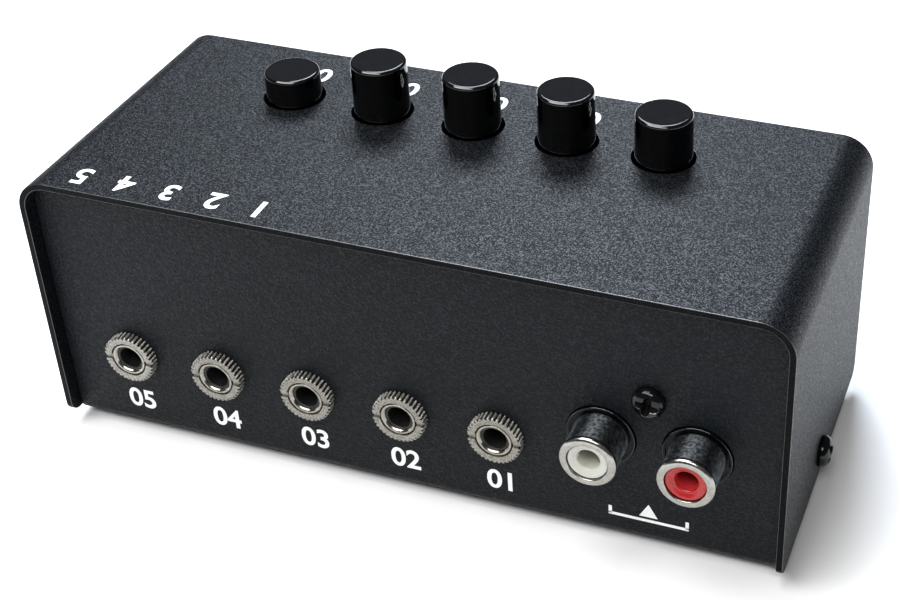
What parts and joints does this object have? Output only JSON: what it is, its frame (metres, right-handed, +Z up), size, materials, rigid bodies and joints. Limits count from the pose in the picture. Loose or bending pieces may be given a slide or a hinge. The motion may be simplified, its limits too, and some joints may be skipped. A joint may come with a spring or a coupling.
{
  "type": "audio switch box",
  "caption": "Black sheet-metal audio switch box: a row of latching push buttons on top, 3.5 mm jack sockets and phono sockets on the rear panel.",
  "frame": {"origin": "on the table under the middle of the whole box, socket barrels included", "axes": "+Z up; +Y out of the rear panel with the sockets, so the buttons' user sits at -Y; +X towards button 5, the latched one"},
  "size_m": [0.1196, 0.0532, 0.0545],
  "materials": {
    "powder_coat": "fine-textured black powder coat on steel sheet",
    "foot_rubber": "matt",
    "black_screws": "black-oxide steel",
    "zinc_plate": "zinc-plated steel",
    "board": "solder mask on glass-fibre board",
    "spring_steel": "drawn spring steel",
    "nickel": "nickel plate, bright",
    "bronze": "phosphor bronze strip",
    "black_moulding": "moulded",
    "white_moulding": "moulded, glossy",
    "red_moulding": "moulded, glossy",
    "ivory_moulding": "moulded acetal",
    "gloss_cap": "moulded ABS, glossy black"
  },
  "bodies": {
    "case": {"top_cover": "powder_coat", "chassis": "powder_coat", "rubber_feet": "foot_rubber", "cover_screws": "black_screws", "rear_screw": "black_screws", "board_standoffs": "zinc_plate", "board_screws": "zinc_plate", "main_board": "board", "switch_frame": "zinc_plate", "latch_spring": "spring_steel", "switch_pins": "nickel", "jack_contacts": "bronze", "phono_housing": "black_moulding", "phono_shell_white": "nickel", "phono_shell_red": "nickel", "phono_insert_white": "white_moulding", "phono_insert_red": "red_moulding", "phono_contacts": "bronze", "switch_body_1": "black_moulding", "switch_body_2": "black_moulding", "switch_body_3": "black_moulding", "switch_body_4": "black_moulding", "switch_body_5": "black_moulding", "return_spring_1": "spring_steel", "return_spring_2": "spring_steel", "return_spring_3": "spring_steel", "return_spring_4": "spring_steel", "return_spring_5": "spring_steel", "jack_body_1": "black_moulding", "jack_body_2": "black_moulding", "jack_body_3": "black_moulding", "jack_body_4": "black_moulding", "jack_body_5": "black_moulding", "jack_bushing_1": "nickel", "jack_bushing_2": "nickel", "jack_bushing_3": "nickel", "jack_bushing_4": "nickel", "jack_bushing_5": "nickel", "jack_nut_1": "nickel", "jack_nut_2": "nickel", "jack_nut_3": "nickel", "jack_nut_4": "nickel", "jack_nut_5": "nickel"},
    "latch": {"latch_bar": "zinc_plate"},
    "button_1": {"button_cap_1": "gloss_cap", "plunger_1": "ivory_moulding", "contact_bridge_1": "bronze"},
    "button_2": {"button_cap_2": "gloss_cap", "plunger_2": "ivory_moulding", "contact_bridge_2": "bronze"},
    "button_3": {"button_cap_3": "gloss_cap", "plunger_3": "ivory_moulding", "contact_bridge_3": "bronze"},
    "button_4": {"button_cap_4": "gloss_cap", "plunger_4": "ivory_moulding", "contact_bridge_4": "bronze"},
    "button_5": {"button_cap_5": "gloss_cap", "plunger_5": "ivory_moulding", "contact_bridge_5": "bronze"}
  },
  "joints": [
    {"name": "button_1_press", "type": "slide", "parent": "case", "child": "button_1", "axis": [0, 0, -1], "range_m": [0, 0.005], "stiffness_N_per_m": 300, "springref_m": -0.004, "deforming": ["return_spring_1"]},
    {"name": "button_2_press", "type": "slide", "parent": "case", "child": "button_2", "axis": [0, 0, -1], "range_m": [0, 0.005], "stiffness_N_per_m": 300, "springref_m": -0.004, "deforming": ["return_spring_2"]},
    {"name": "button_3_press", "type": "slide", "parent": "case", "child": "button_3", "axis": [0, 0, -1], "range_m": [0, 0.005], "stiffness_N_per_m": 300, "springref_m": -0.004, "deforming": ["return_spring_3"]},
    {"name": "button_4_press", "type": "slide", "parent": "case", "child": "button_4", "axis": [0, 0, -1], "range_m": [0, 0.005], "stiffness_N_per_m": 300, "springref_m": -0.004, "deforming": ["return_spring_4"]},
    {"name": "button_5_press", "type": "slide", "parent": "case", "child": "button_5", "axis": [0, 0, -1], "range_m": [-0.0041, 0.0009], "stiffness_N_per_m": 400, "deforming": ["return_spring_5"]},
    {"name": "latch_slide", "type": "slide", "parent": "case", "child": "latch", "axis": [1, 0, 0], "range_m": [0, 0.001], "stiffness_N_per_m": 800, "springref_m": -0.001}
  ]
}
